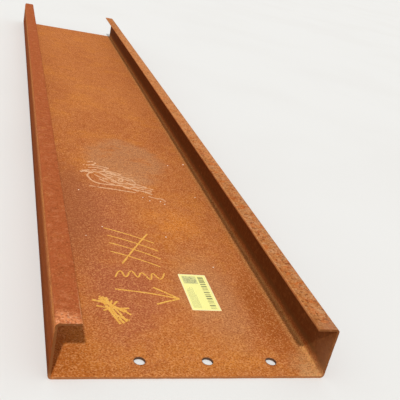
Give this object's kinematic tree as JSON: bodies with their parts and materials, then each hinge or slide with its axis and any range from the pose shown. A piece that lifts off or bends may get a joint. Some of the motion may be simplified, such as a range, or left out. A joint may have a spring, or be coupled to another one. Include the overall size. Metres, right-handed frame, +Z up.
{
  "type": "lipped steel channel",
  "caption": "Wide, low channel folded from heavy steel plate, with flanges and inward lips and a row of bolt holes across the web near one end; weathered and rusted.",
  "frame": {"origin": "underside of the web, at the middle of the channel's length and width", "axes": "+X across the channel to the right seen from the drilled end, +Y along it away from the drilled end, +Z up out of the open side"},
  "size_m": [0.508, 3.048, 0.111],
  "materials": {
    "weathered_plate": "hot-rolled plate under an even coat of orange-brown rust",
    "label_paper": "matt coated paper, pale yellow"
  },
  "bodies": {
    "root": {"channel": "weathered_plate", "stock_label": "label_paper"}
  },
  "joints": []
}
